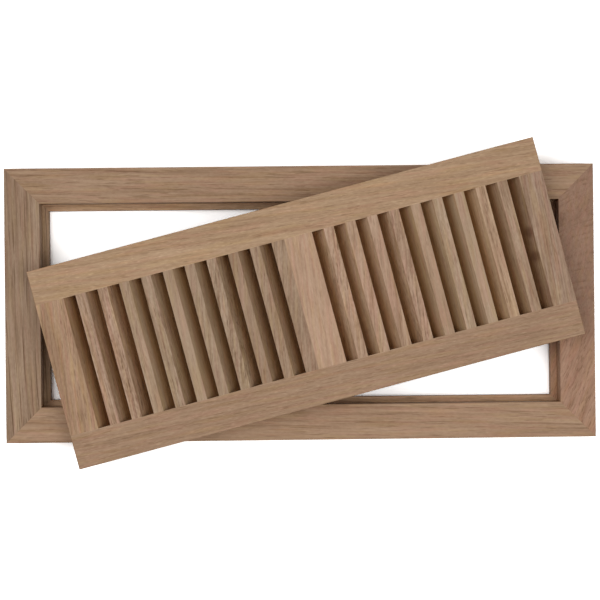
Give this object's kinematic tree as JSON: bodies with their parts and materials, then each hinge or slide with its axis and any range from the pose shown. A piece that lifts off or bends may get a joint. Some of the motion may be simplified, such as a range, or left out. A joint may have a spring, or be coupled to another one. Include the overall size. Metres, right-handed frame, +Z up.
{
  "type": "floor register",
  "caption": "Flush-mount wooden floor register: a mitred frame with a ledge inside it, and its louvred insert lifted out and laid askew across the frame.",
  "frame": {"origin": "centre of the frame on its underside, which is also the bottom centre of the whole box", "axes": "+X along the frame's long rails, +Y towards its back rail, +Z up out of the floor"},
  "size_m": [0.38, 0.2086, 0.0317],
  "materials": {
    "frame_oak": "bare sanded oak, straight grain",
    "insert_rail_oak": "bare sanded oak, straight grain",
    "stile_oak": "bare sanded oak, straight grain",
    "louver_oak": "bare sanded oak, straight grain"
  },
  "bodies": {
    "root": {"frame_rail_front": "frame_oak", "frame_rail_back": "frame_oak", "frame_rail_left": "frame_oak", "frame_rail_right": "frame_oak", "insert_rail_front": "insert_rail_oak", "insert_rail_back": "insert_rail_oak", "end_stile_left": "stile_oak", "centre_stile": "stile_oak", "end_stile_right": "stile_oak", "louver_left_1": "louver_oak", "louver_left_2": "louver_oak", "louver_left_3": "louver_oak", "louver_left_4": "louver_oak", "louver_left_5": "louver_oak", "louver_left_6": "louver_oak", "louver_left_7": "louver_oak", "louver_left_8": "louver_oak", "louver_left_9": "louver_oak", "louver_right_1": "louver_oak", "louver_right_2": "louver_oak", "louver_right_3": "louver_oak", "louver_right_4": "louver_oak", "louver_right_5": "louver_oak", "louver_right_6": "louver_oak", "louver_right_7": "louver_oak", "louver_right_8": "louver_oak", "louver_right_9": "louver_oak"}
  },
  "joints": []
}
